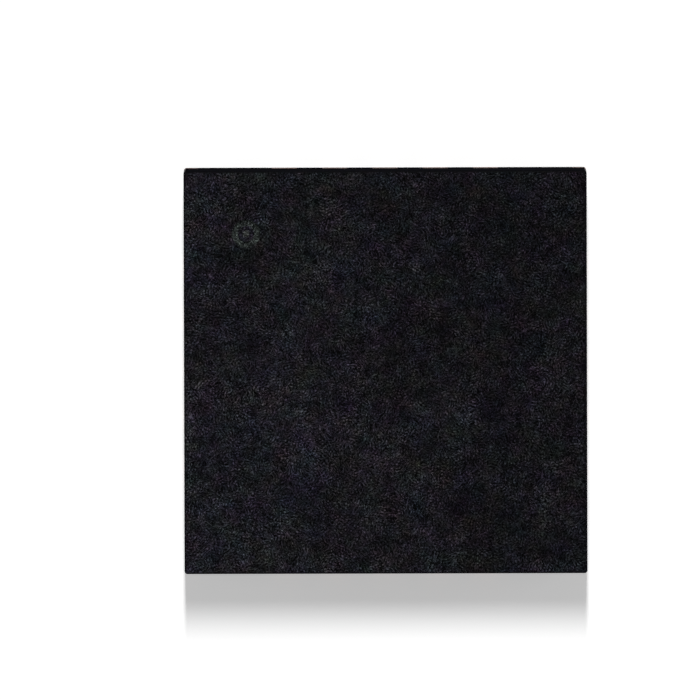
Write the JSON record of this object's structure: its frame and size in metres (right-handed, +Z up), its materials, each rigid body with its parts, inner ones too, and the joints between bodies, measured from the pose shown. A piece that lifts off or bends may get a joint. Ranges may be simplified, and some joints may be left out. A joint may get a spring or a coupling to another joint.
{
  "type": "voltage regulator chip",
  "caption": "Flat square leadless chip package with metal lands along its underside, a central thermal pad and a small ring mark on its plain top.",
  "frame": {"origin": "middle of the underside, on the plane that the lands and the thermal pad share", "axes": "+Z up out of the plain top face; +X and +Y along the sides, with the ring mark and lead 1 at the -X, +Y corner"},
  "size_m": [0.004, 0.004, 0.0009],
  "materials": {
    "mould_compound": "matte",
    "tinned_copper": "satin",
    "silver_adhesive": "matte",
    "silicon": "polished",
    "bond_metal": "satin"
  },
  "bodies": {
    "root": {"mould_body": "mould_compound", "die_paddle": "tinned_copper", "die_attach": "silver_adhesive", "die": "silicon", "lead_01": "tinned_copper", "lead_02": "tinned_copper", "lead_03": "tinned_copper", "lead_04": "tinned_copper", "lead_05": "tinned_copper", "lead_06": "tinned_copper", "lead_07": "tinned_copper", "lead_08": "tinned_copper", "lead_09": "tinned_copper", "lead_10": "tinned_copper", "lead_11": "tinned_copper", "lead_12": "tinned_copper", "lead_13": "tinned_copper", "lead_14": "tinned_copper", "lead_15": "tinned_copper", "lead_16": "tinned_copper", "lead_17": "tinned_copper", "lead_18": "tinned_copper", "lead_19": "tinned_copper", "lead_20": "tinned_copper", "bond_wire_01": "bond_metal", "bond_wire_02": "bond_metal", "bond_wire_03": "bond_metal", "bond_wire_04": "bond_metal", "bond_wire_05": "bond_metal", "bond_wire_06": "bond_metal", "bond_wire_07": "bond_metal", "bond_wire_08": "bond_metal", "bond_wire_09": "bond_metal", "bond_wire_10": "bond_metal", "bond_wire_11": "bond_metal", "bond_wire_12": "bond_metal", "bond_wire_13": "bond_metal", "bond_wire_14": "bond_metal", "bond_wire_15": "bond_metal", "bond_wire_16": "bond_metal", "bond_wire_17": "bond_metal", "bond_wire_18": "bond_metal", "bond_wire_19": "bond_metal", "bond_wire_20": "bond_metal"}
  },
  "joints": []
}
